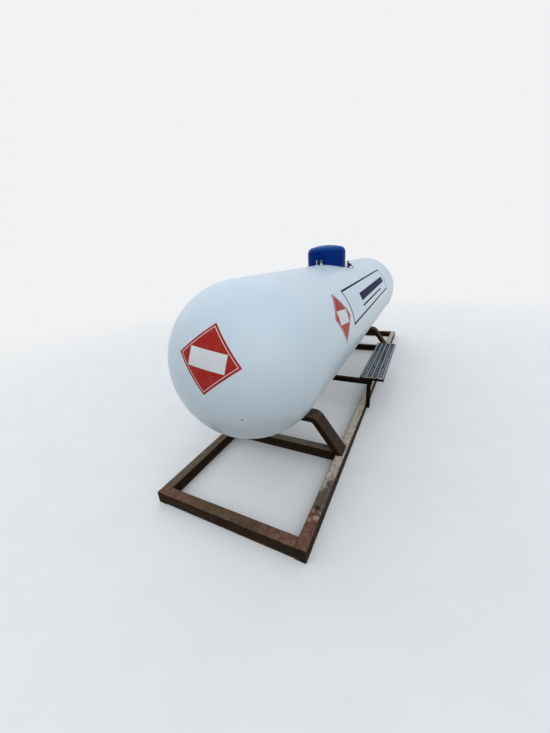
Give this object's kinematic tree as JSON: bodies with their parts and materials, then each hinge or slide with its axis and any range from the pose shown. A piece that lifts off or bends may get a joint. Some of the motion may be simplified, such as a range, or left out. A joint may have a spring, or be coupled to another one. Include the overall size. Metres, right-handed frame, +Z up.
{
  "type": "horizontal pressure tank on a skid",
  "caption": "Horizontal pressure tank with domed ends on bent tube saddles and a welded skid, with a hinged round hood over its valves and a grip plank step at the side",
  "frame": {"origin": "middle of the footprint box, on the floor", "axes": "+Y along the tank towards its far end, +X towards the side with the step, +Z up"},
  "size_m": [1.298, 4.99, 1.7005],
  "materials": {
    "white_tank": "gloss",
    "brown_frame": "satin",
    "blue_hood": "gloss",
    "galvanised_plank": "matte",
    "plain_steel": "satin",
    "brass_fitting": "satin",
    "gauge_metal": "satin",
    "dark_valve": "satin"
  },
  "bodies": {
    "tank": {"shell_near": "white_tank", "shell_mid": "white_tank", "shell_far": "white_tank", "near_head": "white_tank", "far_head": "white_tank", "left_runner": "brown_frame", "right_runner": "brown_frame", "near_end_tube": "brown_frame", "far_end_tube": "brown_frame", "near_saddle_tie": "brown_frame", "far_saddle_tie": "brown_frame", "near_saddle_beam": "brown_frame", "far_saddle_beam": "brown_frame", "near_left_leg": "brown_frame", "near_right_leg": "brown_frame", "far_left_leg": "brown_frame", "far_right_leg": "brown_frame", "near_wear_pad": "white_tank", "far_wear_pad": "white_tank", "near_tank_feet": "white_tank", "far_tank_feet": "white_tank", "near_step_arm": "brown_frame", "far_step_arm": "brown_frame", "near_step_post": "brown_frame", "far_step_post": "brown_frame", "near_step_hanger": "brown_frame", "far_step_hanger": "brown_frame", "near_step_angle": "brown_frame", "far_step_angle": "brown_frame", "step_plank": "galvanised_plank", "hood_hinge_ears": "white_tank", "hood_hinge_pin": "plain_steel", "near_lifting_lug": "white_tank", "far_lifting_lug": "white_tank", "fill_valve": "brass_fitting", "relief_valve": "brass_fitting", "service_valve": "brass_fitting", "float_gauge": "gauge_metal", "vapour_valve": "brass_fitting", "side_valve": "dark_valve", "side_outlet": "plain_steel"},
    "hood": {"hood": "blue_hood", "hood_hinge_strap": "blue_hood"}
  },
  "joints": [
    {"name": "hood_hinge", "type": "hinge", "parent": "tank", "child": "hood", "pos_m": [-0.299, -0.241, 1.47265], "axis": [0, -1, 0], "range_deg": [0, 105]}
  ]
}
